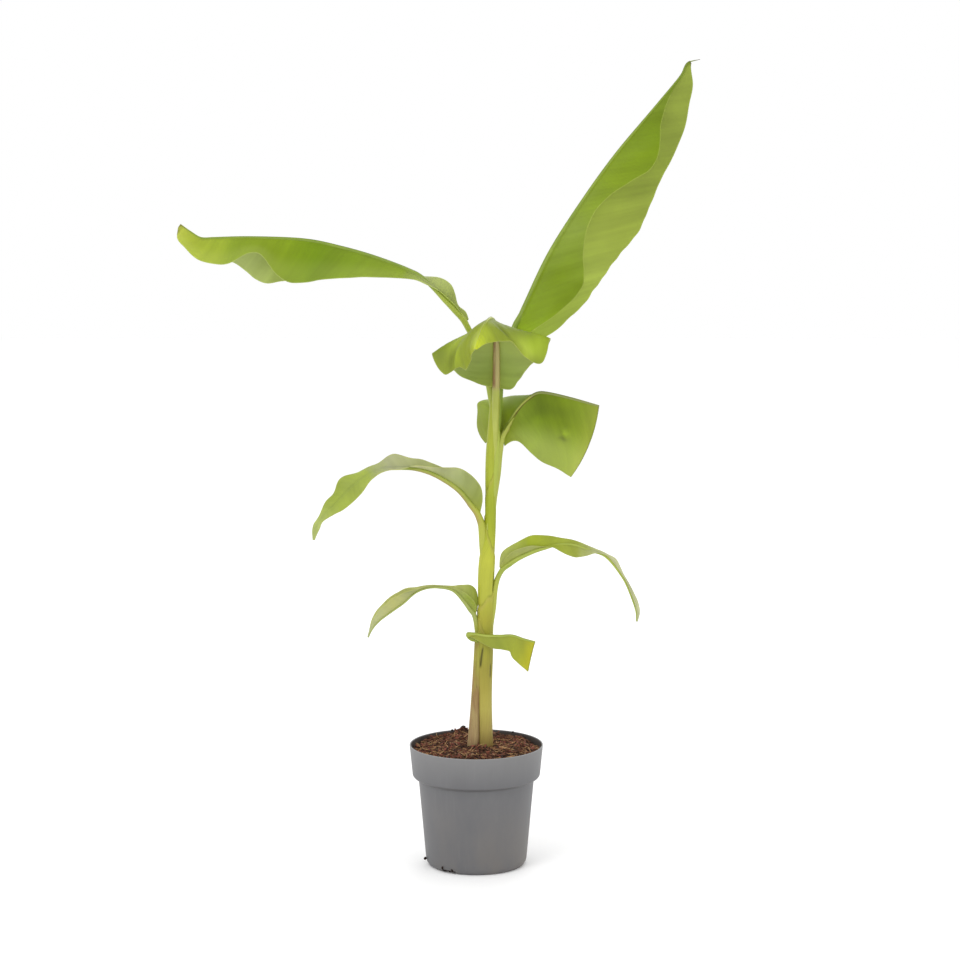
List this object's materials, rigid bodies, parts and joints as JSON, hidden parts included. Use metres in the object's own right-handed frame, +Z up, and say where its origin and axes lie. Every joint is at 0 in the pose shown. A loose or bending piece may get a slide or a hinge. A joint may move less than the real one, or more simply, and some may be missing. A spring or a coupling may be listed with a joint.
{
  "type": "potted banana plant",
  "caption": "Young banana plant in a plain grower's pot: one slim pseudostem, arching trimmed leaves and a crown of broad blades, standing on the pot's flat underside.",
  "frame": {"origin": "centre of the pot's flat underside, on the surface that the pot stands on", "axes": "+Z up along the stem, +X to the right of the front view, +Y away from the front view"},
  "size_m": [0.6437, 0.2438, 1.0183],
  "materials": {
    "pot_plastic": "satin",
    "potting_mix": "matte",
    "stem_flesh": "satin",
    "dry_sheath": "matte",
    "leaf_blade": "satin"
  },
  "bodies": {
    "root": {"pot": "pot_plastic", "soil": "potting_mix", "pseudostem": "stem_flesh", "outer_sheath": "dry_sheath", "leaf_upper_right": "leaf_blade", "leaf_upper_left_inner": "leaf_blade", "leaf_upper_left_outer": "leaf_blade", "leaf_front_crown_inner": "leaf_blade", "leaf_front_crown_outer": "leaf_blade", "leaf_right_trimmed": "leaf_blade", "leaf_left_middle_inner": "leaf_blade", "leaf_left_middle_outer": "leaf_blade", "leaf_right_lower_inner": "leaf_blade", "leaf_right_lower_outer": "leaf_blade", "leaf_left_lower_inner": "leaf_blade", "leaf_left_lower_outer": "leaf_blade", "leaf_lowest_trimmed": "leaf_blade"}
  },
  "joints": []
}
